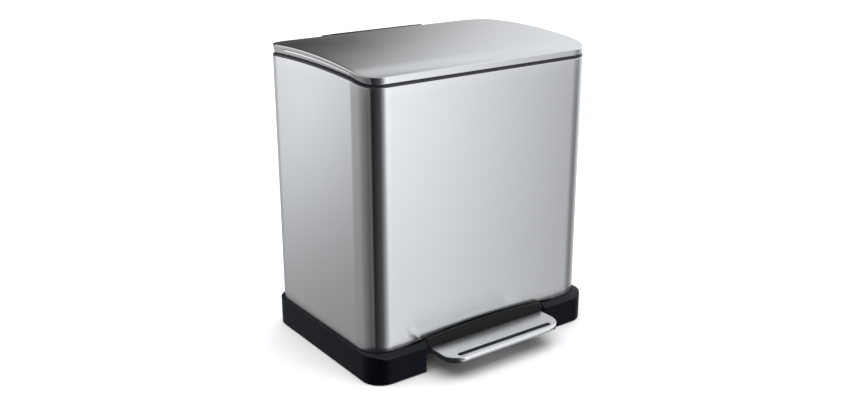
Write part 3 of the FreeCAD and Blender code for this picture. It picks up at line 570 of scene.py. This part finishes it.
def base_skirt():
    """Moulded foot ring: outer wall, ledge with a fine groove against the steel, inner upstand."""
    def outer(inset, height):
        return ring(inset_plan(*BASE, inset, BASE_Y), height)

    def inner(inset, height):
        return ring(inset_plan(*BODY, inset), height)

    def ledge_less(drop):
        return lambda x, y: ledge(x, y) - drop

    rings = [outer(2.6, 1.0), outer(0.9, 1.0), outer(0.26, 1.26), outer(0.0, 1.9)]
    rings += [outer(0.0, lambda x, y, k=k: 1.9 + (ledge(x, y) - 1.4 - 1.9) * k / 6)
              for k in range(1, 7)]
    rings += [outer(0.08, ledge_less(0.85)), outer(0.38, ledge_less(0.38)), outer(0.85, ledge_less(0.1)),
              outer(1.5, ledge_less(0.0)), inner(-1.1, ledge_less(0.0)), inner(-0.75, ledge_less(0.12)),
              inner(-0.6, ledge_less(0.5)), inner(-0.5, 40.9), inner(0.0, 40.9), inner(0.2, 41.9),
              inner(0.95, 41.95), inner(0.95, 59.3), inner(1.2, 59.8), inner(1.7, 60.0), inner(2.9, 60.0),
              inner(3.5, 59.8), inner(3.7, 59.2), inner(3.7, 34.6), inner(4.0, 34.2)]
    rings += [outer(9.5, 34.2), outer(3.4, 34.2), outer(3.0, 33.6), outer(3.0, 1.5)]
    skirt = loft("base_ring", rings, closed=True)
    low, high = (-107.5, -170.0, -5.0), (107.5, -126.2, 42.1)
    carve(skirt, block("base_notch", low, high, 0.0))
    bosses = [turned("base_boss", [(9.2, 4.4), (10.0, 5.2), (10.0, 54.9)], (x, y, 0.0))
              for x in (-172.0, 172.0) for y in (-112.0, 112.0)]
    return unite("bin_base", [skirt, *bosses])


def feet():
    """Ringed rubber discs."""
    profile = [(3.0, 0.9), (3.4, 0.5), (3.8, 0.15), (4.4, 0.0), (7.9, 0.0), (8.6, 0.25), (9.0, 0.9),
               (9.0, 3.2), (8.7, 3.8), (8.2, 4.0)]
    return unite("bin_feet", [turned("foot", profile, (x, y, 0.0))
                              for x in (-172.0, 172.0) for y in (-112.0, 112.0)])


# ---------------------------------------------------------------- lid

LID = (378.0, 260.0, 33.5)
LID_GAP = 4.3
LID_EDGE = 1.5
LID_LEAN = 2.2   # how far the side walls draw in at their lower edge
LID_SLIT = 129.4   # inset of the innermost ring, which leaves a thin slit along the lid's middle
# height from the groove's middle, and depth
GROOVE = ((-1.8, 0.0), (-1.5, 0.0), (-1.2, 0.05), (-0.7, 0.26), (-0.1, 0.52), (0.3, 0.62),
          (0.55, 0.56), (0.75, 0.3), (0.95, 0.05), (1.15, 0.0), (1.45, 0.0))


def lid_insets():
    """Pull-ins from the lid's rounded edge to a thin slit at its middle."""
    return [LID_EDGE + (LID_SLIT - LID_EDGE) * (k / 26) for k in range(1, 27)]


def lid_skin():
    """Pressed steel lid: side wall with a long shallow groove at each side, rounded edge, arched top."""
    def drawn_in(x, y, nx, z):
        """The wall's x at a height, drawn in towards the bottom at the sides only."""
        bottom, top = edge_top(y) + LID_GAP, lid_top(y) - LID_EDGE
        return x - nx * nx * nx * LID_LEAN * min(1.0, max(0.0, (top - z) / (top - bottom)))

    def low(inset, lift):
        heights = [(x, y, nx, edge_top(y) + LID_GAP + (lift(y) if callable(lift) else lift))
                   for x, y, nx, _ in inset_plan(*LID, inset)]
        return [(drawn_in(x, y, nx, z), y, z) for x, y, nx, z in heights]

    def high(inset, drop):
        return ring(inset_plan(*LID, inset), lambda x, y: lid_top(y) - drop)

    def groove(offset, depth):
        one = []
        for x, y, nx, _ in inset_plan(*LID, 0.0):
            bottom, top = edge_top(y) + LID_GAP + 0.5, lid_top(y) - LID_EDGE
            reach = smooth(y, -95.5, -91.5) * smooth(-y, -77.0, -73.0) * (abs(nx) > 0.999)
            z = bottom + (top - bottom) * 0.52 + offset
            one.append((drawn_in(x, y, nx, z) - nx * depth * reach, y, z))
        return one

    rings = [high(inset, SHEET) for inset in reversed(lid_insets())]
    inner = LID_EDGE - SHEET
    rings += [high(LID_EDGE - inner * math.cos(a), LID_EDGE - inner * math.sin(a))
              for a in (math.radians(90 - 15 * k) for k in range(7))]
    rings += [low(SHEET, 0.35), low(0.7, 0.1), low(0.4, 0.0), low(0.12, 0.1), low(0.0, 0.4),
              low(0.0, 0.7)]
    rings += [groove(offset, depth) for offset, depth in GROOVE]
    rings += [low(0.0, lambda y: lid_top(y) - edge_top(y) - LID_GAP - LID_EDGE - 0.3)]
    rings += [high(LID_EDGE - LID_EDGE * math.cos(a), LID_EDGE - LID_EDGE * math.sin(a))
              for a in (math.radians(11.25 * k) for k in range(9))]
    rings += [high(inset, 0.0) for inset in lid_insets()]
    return loft("bin_lid", rings, sharp=60)


def lid_liner():
    """Plastic inner lid: a plate with a thin rim that shows as a dark line, and a shallow panel."""
    def at(inset, lift):
        return ring(inset_plan(LID[0] - 2 * LID_LEAN, LID[1], LID[2], inset),
                    lambda x, y: edge_top(y) + lift)

    rings = [at(LID_SLIT - k * 9.4, 3.6) for k in range(12)]
    rings += [at(24.0, 3.6), at(22.6, 3.5), at(21.6, 3.2), at(20.6, 2.75), at(19.6, 2.5), at(18.2, 2.4),
              at(6.0, 2.3), at(0.6, 2.3), at(0.2, 2.5), at(0.12, 2.9), at(0.2, 3.3), at(0.6, 3.5),
              at(1.7, 3.6), at(1.8, 7.6), at(3.0, 7.8), at(4.2, 7.6), at(4.4, 4.6), at(8.0, 4.4)]
    rings += [at(20.0 + k * 9.94, 4.6) for k in range(12)]
    liner = loft("bin_lid_liner", rings)
    slot = block("liner_slot", (-76.0, 122.0, 410.5), (76.0, 140.0, 430.0), 0.0)
    return carve(liner, slot)


# ---------------------------------------------------------------- hinge

HINGE = (0.0, 141.5, 409.2)


def knuckle(name, low, high, radius, bore):
    """A hinge knuckle with chamfered ends, bored for the pin."""
    soft = 0.7
    profile = [(bore, low + 0.3), (bore + 0.3, low), (radius - soft, low), (radius - 0.2, low + 0.2),
               (radius, low + soft), (radius, high - soft), (radius - 0.2, high - 0.2),
               (radius - soft, high), (bore + 0.3, high), (bore, high - 0.3)]
    return turned(name, profile, HINGE, "x", 64, closed=True)


def hinge_barrel():
    barrel = knuckle("barrel", -74.0, 74.0, 10.5, 4.06)
    tongue = block("tongue", (-73.6, 108.7, 411.35), (73.6, 136.0, 415.1), 0.5)
    return unite("bin_hinge_barrel", [barrel, tongue])


def hinge_bracket():
    """Back plate screwed to the box, with an outer knuckle at each end."""
    face = 130.6
    parts = [block("hinge_plate", (-87.0, face, 340.0), (87.0, face + 2.0, 396.6), 0.9, 3)]
    for side in (-1, 1):
        low, high = sorted((side * 76.0, side * 87.0))
        parts.append(block("hinge_leg", (low, face + 0.2, 381.0), (high, 145.4, 396.8), 1.2, 3))
        parts.append(block("hinge_neck", (low + 0.1, 133.6, 390.5), (high - 0.1, 145.4, 408.6), 1.0, 3))
        parts.append(knuckle("hinge_ear", low, high, 10.2, 4.0))
    plate = parts[0]
    for x in (-60.0, 60.0):
        for z in (350.0, 364.0):
            carve(plate, turned("hinge_hole", [(2.0, -9.0), (2.0, 9.0)], (x, face, z), "y", 24))
    return unite("bin_hinge_bracket", parts)


# ---------------------------------------------------------------- pedal

TREAD = (200.0, 50.0, 27.0, 2.4)   # width, depth, front and back corner radii
TREAD_Y = -166.0
TREAD_BACK = -141.0
GRIP = (165.0, 7.5)   # length and width of the grip strip
GRIP_Y = -180.0
GRIP_RIB = 1.5   # half the spacing of its ribs
# inset and height round the plate's edge: thin at the sides, rolled under along the front
THIN = ((2.0, 33.5), (1.7, 33.5), (1.4, 33.5), (1.1, 33.5), (0.8, 33.52), (0.4, 33.62), (0.1, 33.9),
        (0.0, 34.25), (0.1, 34.6), (0.36, 34.86), (0.7, 34.97), (1.1, 35.0), (2.0, 35.0))
ROLLED = ((4.7, 33.5), (4.5, 28.1), (4.1, 27.3), (3.3, 27.0), (2.2, 27.25), (1.1, 28.2), (0.3, 29.8),
          (0.0, 31.4), (0.4, 33.0), (1.35, 34.2), (2.7, 34.83), (4.4, 35.0), (5.4, 35.0))


def stadium(name, length, wide, low, high, middle):
    """A straight-sided bar with round ends."""
    points = plan(length, wide, wide / 2 - 0.05, middle=middle, counts=(60, 2, 10))
    return loft(name, [ring(points, low), ring(points, high)])


def pedal_tread():
    """Brushed tread whose front edge is rolled under, with a slot for the grip strip."""
    points = plan(*TREAD, middle=TREAD_Y, counts=(80, 16, 24))
    rings = []
    for (thin_in, thin_z), (roll_in, roll_z) in zip(THIN, ROLLED):
        one = []
        for x, y, nx, ny in points:
            share = smooth(-abs(x), -93.0, -80.0) * (y < -160)
            inset = thin_in + (roll_in - thin_in) * share
            one.append((x - nx * inset, y - ny * inset, thin_z + (roll_z - thin_z) * share))
        rings.append(one)
    tread = loft("bin_pedal_tread", rings, sharp=50)
    for layer in tread.data.uv_layers:
        for loop in tread.data.loops:
            here = tread.data.vertices[loop.vertex_index].co
            layer.data[loop.index].uv = (here.x, here.y + here.z)
    return carve(tread, stadium("tread_slot", *GRIP, 20.0, 40.0, GRIP_Y))


def pedal_grip():
    """Rubber strip with fine cross ribs."""
    rings = []
    for inset, z, rib in ((0.1, 32.2, 0), (0.1, 35.1, 0), (0.25, 35.35, 0.2), (0.7, 35.5, 0.8),
                          (1.5, 35.55, 1.0), (2.6, 35.55, 1.0)):
        points = plan(GRIP[0] - 2 * inset, GRIP[1] - 2 * inset, GRIP[1] / 2 - 0.1 - inset,
                      middle=GRIP_Y, counts=(400, 2, 10))
        rings.append(ring(points, lambda x, y, z=z, rib=rib:
                          z - 0.3 * rib * (math.cos(x * math.pi / GRIP_RIB) > 0.2)))
    return loft("bin_pedal_grip", rings, sharp=30)


def tray_plan(inset, count=24):
    """Outline of the plastic body under the tread, cut straight behind the rolled front."""
    side, front, back, radius = 99.6 - inset, -185.9 + inset, -137.9 - inset, 26.6 - inset
    cx, cy = side - radius, -164.0
    last = math.asin(min(1.0, (cy - front) / radius))
    left = [(-cx - radius * math.cos(last * k / count), cy - radius * math.sin(last * k / count))
            for k in range(count + 1)]
    corner = [(-side + 1.0, back), (-side + 0.3, back - 0.3), (-side, back - 1.0)]
    half = corner + [(-side, back - 1.0 + (cy - back + 1.0) * k / 8) for k in range(1, 8)] + left
    return half + [(-x, y) for x, y in reversed(half)]


HOOD_HALF = 103.0


def hood_section(x):
    """Outline in y and z of the hood behind the tread, at one place along its width."""
    top = 45.5 + arc(x, -104.0, 104.0, 5.0)
    pull = HOOD_HALF - abs(x)
    turn = 2.4
    back_off = turn - math.sqrt(max(0.0, turn * turn - (turn - pull) ** 2)) if pull < turn else 0.0
    crest = 2.6 + 0.587 * (top - 44.5)
    soft = 0.75
    face = [(0.1, 33.6), (0.1, 36.2), (0.45, 38.2), (1.4, 41.2), (2.6, 44.3 + 0.12 * (top - 45.5))]
    face += [(crest - 0.35 * soft, top - 1.5 * soft), (crest, top - 0.6 * soft),
             (crest + 0.4 * soft, top - 0.15 * soft), (crest + soft, top)]
    rear = [(9.0, top), (9.45, top - 0.2), (9.6, top - 0.7), (9.6, 43.0), (9.3, 42.2), (3.6, 39.8),
            (3.2, 39.2), (2.7, 26.6), (2.4, 26.15), (2.0, 26.0), (0.6, 26.0), (0.25, 26.15), (0.1, 26.6)]
    front = [(min(8.9, y + back_off), z) for y, z in face]
    low = [(y + (back_off if y < 1.5 else 0.0), z) for y, z in rear]
    return front + low


def pedal_carrier():
    """Plastic body of the pedal: a tray under the tread and an arched hood behind it."""
    lower = [(1.4, 26.0), (0.75, 26.12), (0.25, 26.5), (0.0, 27.2), (0.0, 33.4)]
    tray = loft("tray", [[(x, y, z) for x, y in tray_plan(inset)] for inset, z in lower], sharp=50)
    stations = [-HOOD_HALF, -102.7, -102.2, -101.6, -100.6]
    stations += [-100.6 + 201.2 * k / 60 for k in range(1, 60)]
    stations += [-x for x in reversed(stations[:5])]
    hood = loft("hood", [[(x, TREAD_BACK + y, z) for y, z in hood_section(x)] for x in stations],
                sharp=50)
    return unite("bin_pedal_carrier", [tray, hood])


# ---------------------------------------------------------------- bucket

BUCKET = (350.0, 210.0, 36.0)   # width, depth and corner radius at the top
BUCKET_Y = -14.0
BUCKET_TOP = 386.0
BUCKET_DROP = 327.8   # height over which the walls draw in by the taper
BUCKET_TAPER, CORNER_TAPER = 10.0, 8.0


def bucket():
    """Lift-out bucket with tapered walls, a rolled rim and a soft inner floor edge."""
    def at(z, out=0.0):
        lean = BUCKET_TAPER * (BUCKET_TOP - z) / BUCKET_DROP
        corner = BUCKET[2] - CORNER_TAPER * (BUCKET_TOP - z) / BUCKET_DROP
        return ring(plan(BUCKET[0] - 2 * lean + 2 * out, BUCKET[1] - 2 * lean + 2 * out, corner + out,
                         middle=BUCKET_Y), z)

    rings = [at(59.4, -14.0), at(58.4, -9.0), at(58.4, -3.0), at(59.0, -1.0), at(60.6, 0.0)]
    rings += [at(60.6 + (369.0 - 60.6) * k / 10) for k in range(1, 11)]
    rings += [at(382.6, 0.0), at(383.2, 0.4), at(383.3, 1.6), at(382.6, 2.0), at(373.0, 2.0),
              at(372.2, 2.3), at(372.0, 3.0), at(372.3, 3.7), at(373.0, 4.0), at(384.2, 4.0),
              at(385.4, 3.6), at(386.0, 2.6), at(386.0, -0.6), at(385.6, -1.5), at(384.6, -2.0)]
    rings += [at(384.6 - (384.6 - 68.0) * k / 10, -2.0) for k in range(1, 11)]
    rings += [at(64.0, -2.9), at(61.6, -5.2), at(60.6, -9.0)]
    rings += [at(60.5, -9.0 - 8.3 * k) for k in range(1, 11)]
    return loft("bin_bucket", rings)


# ---------------------------------------------------------------- screws

def screw_head(name, centre, axis, up, radius, height, shank, depth):
    """Pan head with a cross recess, on its shank; up is +1 or -1 along the axis."""
    profile = [(shank * 0.8, -depth), (shank, -depth + 0.6), (shank, 0.0), (radius, 0.0),
               (radius, height * 0.35), (radius * 0.93, height * 0.68), (radius * 0.75, height * 0.9),
               (radius * 0.4, height)]
    item = turned(name, [(r, up * a) for r, a in profile], centre, axis, 32)
    slots = []
    for turn in (0, 1):
        half = [radius * 0.55, radius * 0.12]
        if turn:
            half.reverse()
        spans = [(-half[0], half[0]), (-half[1], half[1])]
        spans.insert("xyz".index(axis), tuple(sorted((up * height * 0.35, up * height * 1.4))))
        low, high = zip(*spans)
        slots.append(block("recess", [c + s for c, s in zip(centre, low)],
                           [c + s for c, s in zip(centre, high)], 0.0))
    return carve(item, *slots)


def screws(name, centres, *shape):
    return unite(name, [screw_head("screw", centre, *shape) for centre in centres])


# ---------------------------------------------------------------- pieces

finish_piece(body_shell(), "body", "body_steel", "body_shell")
finish_piece(top_rim(), "body", "black_trim", "top_rim", finish=GLOSSIER_LIT_TRIM)
finish_piece(base_skirt(), "body", "base_plastic", "base_skirt", soft=0.35)
finish_piece(feet(), "body", "foot_rubber", "feet")
finish_piece(hinge_bracket(), "body", "black_trim", "hinge_bracket")
finish_piece(lid_skin(), "lid", "lid_steel", "lid_skin")
finish_piece(lid_liner(), "lid", "black_trim", "lid_liner", finish=GLOSSIER_LIT_TRIM)
finish_piece(hinge_barrel(), "lid", "black_trim", "hinge_barrel")
finish_piece(pedal_tread(), "pedal", "pedal_steel", "pedal_tread", soft=0.2)
finish_piece(pedal_grip(), "pedal", "grip_rubber", "pedal_grip")
finish_piece(pedal_carrier(), "pedal", "pedal_plastic", "pedal_carrier")
finish_piece(bucket(), "bucket", "bucket_plastic", "inner_bucket")

CORNERS = [(x, y) for x in (-172.0, 172.0) for y in (-112.0, 112.0)]
finish_piece(screws("bin_base_screws", [(x, y, 58.05) for x, y in CORNERS], "z", 1, 4.5, 2.5, 2.0, 17.0),
             "body", "zinc_steel", "base_screws")
finish_piece(screws("bin_hinge_screws", [(x, 132.6, z) for x in (-60.0, 60.0) for z in (350.0, 364.0)],
                    "y", 1, 4.0, 2.0, 2.0, 8.0), "body", "zinc_steel", "hinge_screws")
finish_piece(screws("bin_bracket_screws", [(x, y, 52.5) for x in (-60.0, 60.0) for y in (-84.0, -68.0)],
                    "z", -1, 3.4, 2.0, 1.8, 5.0), "body", "zinc_steel", "bracket_screws")
finish_piece(screws("bin_pedal_screws", [(x, y, 23.5) for x in (-36.0, 36.0) for y in (-166.0, -148.0)],
                    "z", -1, 3.4, 2.0, 1.8, 7.4), "pedal", "zinc_steel", "pedal_screws")

REPLACED = {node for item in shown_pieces() for node in item.get("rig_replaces", [])}
NODE_SLOT = {part["node"]: part["material_slot"] for part in frame["record"]["subparts"]}
for name, item in frame["nodes"].items():
    item.data.materials.clear()
    item.data.materials.append(SLOTS[NODE_SLOT[name]])
    if name in REPLACED:
        continue
    item.data.shade_smooth()
    item.data.set_sharp_from_angle(angle=math.radians(35))
    weld = item.modifiers.new("weld", "WELD")
    weld.merge_threshold = 0.00001
    soften(item, 0.35)


# ---------------------------------------------------------------- studio

LENS = 42.71
CAMERA_AT = (-0.83213, -1.14925 + CENTRE_Y * MM, 0.67287)
CAMERA_TILT = 19.154      # degrees below level
CAMERA_BEARING = 35.952   # degrees clockwise from +Y, seen from above


def camera():
    data = bpy.data.cameras.new("camera")
    item = bpy.data.objects.new("camera", data)
    bpy.context.scene.collection.objects.link(item)
    data.lens = LENS
    data.sensor_width = 36.0
    item.location = CAMERA_AT
    item.rotation_euler = (math.radians(90 - CAMERA_TILT), 0.0, math.radians(-CAMERA_BEARING))
    bpy.context.scene.camera = item


def floor():
    """A pale matt floor."""
    build = bmesh.new()
    bmesh.ops.create_grid(build, x_segments=8, y_segments=8, size=24.0)
    item = mesh_object(build, "floor")
    make = Shader("floor_paper", Specular_IOR_Level=0.1)
    fibre = make.noise(300.0, detail=3.0)
    make.colour(make.blend(make.spread(fibre, 0.0, 1.0), (0.86, 0.86, 0.865), (0.88, 0.88, 0.885)))
    make.roughness(make.spread(fibre, 0.8, 0.9))
    item.data.materials.append(make.material)
    item.visible_glossy = False


def softbox(name, at, target, size, power):
    data = bpy.data.lights.new(name, "AREA")
    data.shape = "RECTANGLE"
    data.size, data.size_y = size
    data.energy = power
    item = bpy.data.objects.new(name, data)
    bpy.context.scene.collection.objects.link(item)
    item.location = at
    item.rotation_euler = (Vector(target) - Vector(at)).to_track_quat("-Z", "Y").to_euler()
    item.visible_glossy = False


# Brightness all round the studio: bearing in degrees, clockwise from +Y seen from above, then the
# brightness steeply below level, below it, a little below it, and from level upwards.
AROUND = [
    (-180, 0.30, 0.26, 0.150, 0.15), (-172, 0.12, 0.10, 0.060, 0.08), (-150, 0.05, 0.05, 0.020, 0.04),
    (-134, 0.02, 0.01, 0.005, 0.04), (-131, 0.15, 0.15, 0.160, 0.30), (-118, 0.10, 0.10, 0.110, 0.40),
    (-93, 0.18, 0.20, 0.230, 0.60), (-72, 0.26, 0.30, 0.440, 0.80), (-45, 0.26, 0.29, 0.480, 0.90),
    (-36, 0.26, 0.28, 0.480, 1.00), (-32, 0.28, 0.31, 0.80, 1.30), (-29, 0.31, 0.36, 1.30, 1.45),
    (-26.5, 0.31, 0.34, 0.950, 1.20), (-20, 0.30, 0.33, 0.600, 0.60), (-5, 0.32, 0.36, 0.600, 0.06),
    (22, 0.35, 0.38, 0.600, 0.03), (28, 0.35, 0.35, 0.450, 0.02), (31, 0.35, 0.35, 0.450, 0.06),
    (34, 0.38, 0.38, 0.450, 0.27), (40, 0.40, 0.40, 0.550, 0.78), (46, 0.50, 0.50, 0.650, 0.98),
    (80, 0.50, 0.50, 0.900, 1.20), (108, 0.30, 0.22, 0.200, 1.10), (124, 0.50, 0.28, 0.260, 1.00),
    (133, 0.80, 0.38, 0.360, 0.75), (138, 1.00, 0.56, 0.780, 1.00), (143, 1.10, 0.74, 1.130, 1.15),
    (148, 1.20, 0.80, 1.460, 1.40), (159, 1.10, 0.66, 1.400, 1.35), (164, 0.80, 0.50, 1.000, 1.10),
    (171, 0.45, 0.42, 0.400, 0.60), (180, 0.30, 0.26, 0.150, 0.15),
]
STUDIO_LEVEL = 1.5   # the brightness that 1 stands for on the ramps
STUDIO_TINT = (0.985, 1.0, 1.02)
# sines of the elevations between which each brightness blends into the next
STEPS = ((-0.62, -0.46), (-0.42, -0.22), (-0.14, -0.01), (0.78, 0.92))
OVERHEAD = 0.45      # brightness straight up
BACKDROP = 1.0       # brightness behind the floor, as the camera sees it


def studio():
    """Soft light from all round, graded by bearing and height; the camera itself sees plain white."""
    world = bpy.data.worlds.new("studio")
    bpy.context.scene.world = world
    world.use_nodes = True
    nodes, links = world.node_tree.nodes, world.node_tree.links
    nodes.clear()

    def node(kind, **settings):
        made = nodes.new(kind)
        for key, value in settings.items():
            setattr(made, key, value)
        return made

    def span(source, start, stop):
        """0 below start, 1 above stop."""
        made = node("ShaderNodeMapRange", interpolation_type="SMOOTHSTEP")
        made.inputs["From Min"].default_value = start
        made.inputs["From Max"].default_value = stop
        links.new(source, made.inputs["Value"])
        return made.outputs["Result"]

    def mix(factor, first, second):
        made = node("ShaderNodeMix", data_type="RGBA")
        links.new(factor, made.inputs["Factor"])
        for socket, value in ((made.inputs[6], first), (made.inputs[7], second)):
            if isinstance(value, tuple):
                socket.default_value = (*value, 1.0)
            else:
                links.new(value, socket)
        return made.outputs[2]

    direction = node("ShaderNodeTexCoord").outputs["Generated"]
    parts = node("ShaderNodeSeparateXYZ")
    links.new(direction, parts.inputs[0])
    bearing = node("ShaderNodeMath", operation="ARCTAN2")
    links.new(parts.outputs["X"], bearing.inputs[0])
    links.new(parts.outputs["Y"], bearing.inputs[1])
    turn = node("ShaderNodeMapRange")
    turn.inputs["From Min"].default_value = -math.pi
    turn.inputs["From Max"].default_value = math.pi
    links.new(bearing.outputs[0], turn.inputs["Value"])

    def level(column):
        ramp = node("ShaderNodeValToRGB")
        stops = ramp.color_ramp.elements
        while len(stops) < len(AROUND):
            stops.new(0.5)
        for stop, row in zip(stops, AROUND):
            stop.position = (row[0] + 180) / 360
            stop.color = (*(row[column] * tint / STUDIO_LEVEL for tint in STUDIO_TINT), 1.0)
        links.new(turn.outputs[0], ramp.inputs["Fac"])
        return ramp.outputs["Color"]

    height = parts.outputs["Z"]
    around = level(1)
    for step, column in zip(STEPS, (2, 3, 4)):
        around = mix(span(height, *step), around, level(column))
    around = mix(span(height, *STEPS[3]), around, (OVERHEAD / STUDIO_LEVEL,) * 3)
    seen = node("ShaderNodeLightPath").outputs["Is Camera Ray"]
    shown = mix(seen, around, (BACKDROP / STUDIO_LEVEL,) * 3)
    light = node("ShaderNodeBackground")
    links.new(shown, light.inputs["Color"])
    light.inputs["Strength"].default_value = STUDIO_LEVEL
    output = node("ShaderNodeOutputWorld")
    links.new(light.outputs[0], output.inputs["Surface"])


camera()
floor()
softbox("overhead", (-0.8, 0.3, 16.8), (0.0, 0.3, 0.0), (26.0, 26.0), 5280.0)
studio()
bpy.context.scene.view_settings.view_transform = "Standard"
